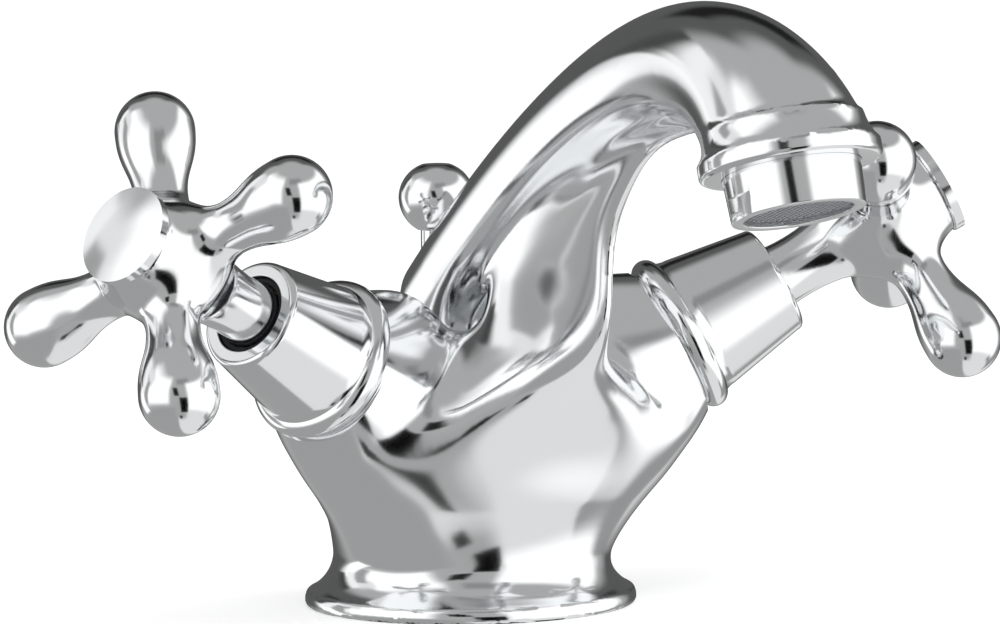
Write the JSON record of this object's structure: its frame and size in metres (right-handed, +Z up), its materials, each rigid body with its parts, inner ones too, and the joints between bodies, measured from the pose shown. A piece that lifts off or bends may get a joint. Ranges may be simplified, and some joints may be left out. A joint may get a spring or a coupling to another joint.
{
  "type": "basin mixer tap",
  "caption": "Single-hole basin mixer tap with an arched spout on a web, two cross handles on raised horns and a pop-up waste knob.",
  "frame": {"origin": "centre of the round base's underside, on the face of the deck or basin that the tap stands on", "axes": "+Z up out of the deck; the spout reaches towards -Y, the user; the handles lie on +X and -X; the pop-up rod is on the +Y side"},
  "size_m": [0.1896, 0.1619, 0.1631],
  "materials": {
    "chrome": "mirror-polished chrome plate on brass",
    "raw_brass": "turned brass",
    "zinc_steel": "zinc-plated steel",
    "black_rubber": "smooth black rubber",
    "grey_plastic": "moulded acetal",
    "ceramic": "lapped white ceramic"
  },
  "bodies": {
    "root": {"body_casting": "chrome", "base_seal": "black_rubber", "clamp_pad": "black_rubber", "clamp_plate": "zinc_steel", "clamp_washer": "zinc_steel", "clamp_nut": "raw_brass", "fixing_stud": "zinc_steel", "rod_guide": "grey_plastic", "aerator_washer": "black_rubber", "aerator_housing": "chrome", "aerator_insert": "grey_plastic", "aerator_grille": "grey_plastic", "left_bell_cover": "chrome", "left_mouth_seal": "black_rubber", "left_headwork": "raw_brass", "left_flange_seal": "black_rubber", "left_seat_seal": "black_rubber", "left_fixed_disc": "ceramic", "left_spindle_seal": "black_rubber", "right_bell_cover": "chrome", "right_mouth_seal": "black_rubber", "right_headwork": "raw_brass", "right_flange_seal": "black_rubber", "right_seat_seal": "black_rubber", "right_fixed_disc": "ceramic", "right_spindle_seal": "black_rubber"},
    "popup": {"popup_rod": "chrome", "popup_knob": "chrome"},
    "left_handle": {"left_cross_handle": "chrome", "left_index_cap": "chrome", "left_handle_screw": "zinc_steel", "left_spindle": "raw_brass", "left_spindle_clip": "zinc_steel", "left_turning_disc": "ceramic"},
    "right_handle": {"right_cross_handle": "chrome", "right_index_cap": "chrome", "right_handle_screw": "zinc_steel", "right_spindle": "raw_brass", "right_spindle_clip": "zinc_steel", "right_turning_disc": "ceramic"}
  },
  "joints": [
    {"name": "left_handle_turn", "type": "hinge", "parent": "root", "child": "left_handle", "pos_m": [-0.07358, -0.02548, 0.069], "axis": [-0.837, -0.2784, 0.471], "range_deg": [0, 90]},
    {"name": "right_handle_turn", "type": "hinge", "parent": "root", "child": "right_handle", "pos_m": [0.07358, -0.02548, 0.069], "axis": [0.837, -0.2784, 0.471], "range_deg": [-90, 0]},
    {"name": "popup_lift", "type": "slide", "parent": "root", "child": "popup", "axis": [0, 0, 1], "range_m": [0, 0.016]}
  ]
}
